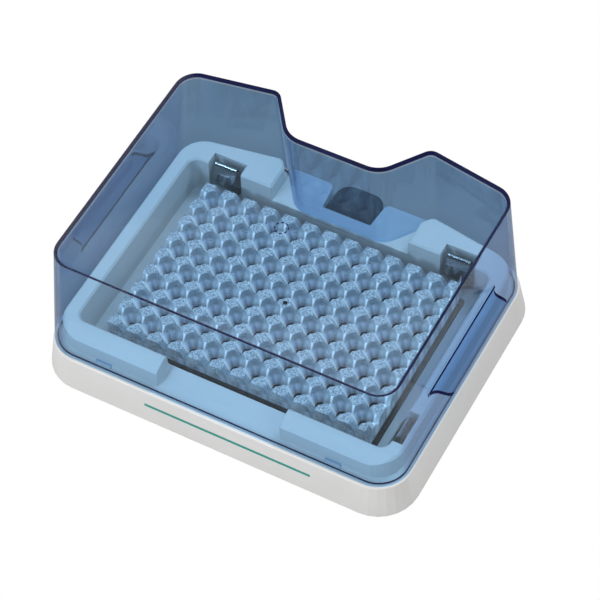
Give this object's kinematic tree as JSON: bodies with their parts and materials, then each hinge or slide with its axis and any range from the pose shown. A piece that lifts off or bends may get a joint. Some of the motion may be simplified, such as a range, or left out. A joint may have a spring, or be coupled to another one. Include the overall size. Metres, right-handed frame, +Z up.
{
  "type": "dry block heater",
  "caption": "Benchtop heating module: a pale plastic tray frame round a grid-welled aluminium block, with plate clips and a clear blue cover that lifts off.",
  "frame": {"origin": "on the table, under the middle of the tray frame's side-to-side plane of symmetry", "axes": "+Z up, +X towards the right end of the long side (the end with one clip), -Y towards the front with the lowered collar"},
  "size_m": [0.1614, 0.1251, 0.065],
  "materials": {
    "white_plastic": "fine texture",
    "blue_cover": "clear tinted, polished",
    "aluminium": "machined and matt anodised",
    "spring_steel": "bright rolled",
    "screw_steel": "plain",
    "sensor_steel": "polished",
    "black_rubber": "matt",
    "black_plastic": "satin",
    "silicone_mat": "matt",
    "foam": "open cell",
    "circuit_board": "lacquered",
    "lead_red": "insulation",
    "lead_white": "insulation"
  },
  "bodies": {
    "module": {"base_frame": "white_plastic", "bottom_cover": "white_plastic", "heating_block": "aluminium", "clamp_plate": "aluminium", "heater_mat": "silicone_mat", "insulation_pad": "foam", "block_seal": "black_rubber", "temperature_sensor": "sensor_steel", "thermal_fuse": "black_plastic", "rear_connector": "black_plastic", "contact_board": "circuit_board", "heater_lead_1": "lead_red", "heater_lead_2": "lead_red", "sensor_lead": "lead_white", "clip_screw_back_left": "screw_steel", "clip_screw_back_right": "screw_steel", "clip_screw_right": "screw_steel", "clamp_screw_1": "screw_steel", "clamp_screw_2": "screw_steel", "clamp_screw_3": "screw_steel", "clamp_screw_4": "screw_steel", "cover_screw_1": "screw_steel", "cover_screw_2": "screw_steel", "cover_screw_3": "screw_steel", "cover_screw_4": "screw_steel"},
    "cover": {"lid": "blue_cover"},
    "left_rear_clip": {"clip_back_left": "spring_steel"},
    "right_rear_clip": {"clip_back_right": "spring_steel"},
    "side_clip": {"clip_right": "spring_steel"}
  },
  "joints": [
    {"name": "lid_lift", "type": "slide", "parent": "module", "child": "cover", "axis": [0, 0, 1], "range_m": [0, 0.06]},
    {"name": "clip_back_left_flex", "type": "hinge", "parent": "module", "child": "left_rear_clip", "pos_m": [-0.051, 0.0459, 0.01015], "axis": [-1, 0, 0], "range_deg": [0, 5], "stiffness_Nm_per_rad": 1.5},
    {"name": "clip_back_right_flex", "type": "hinge", "parent": "module", "child": "right_rear_clip", "pos_m": [0.051, 0.0459, 0.01015], "axis": [-1, 0, 0], "range_deg": [0, 5], "stiffness_Nm_per_rad": 1.5},
    {"name": "clip_right_flex", "type": "hinge", "parent": "module", "child": "side_clip", "pos_m": [0.0681, -0.0335, 0.01015], "axis": [0, 1, 0], "range_deg": [0, 5], "stiffness_Nm_per_rad": 1.5}
  ]
}
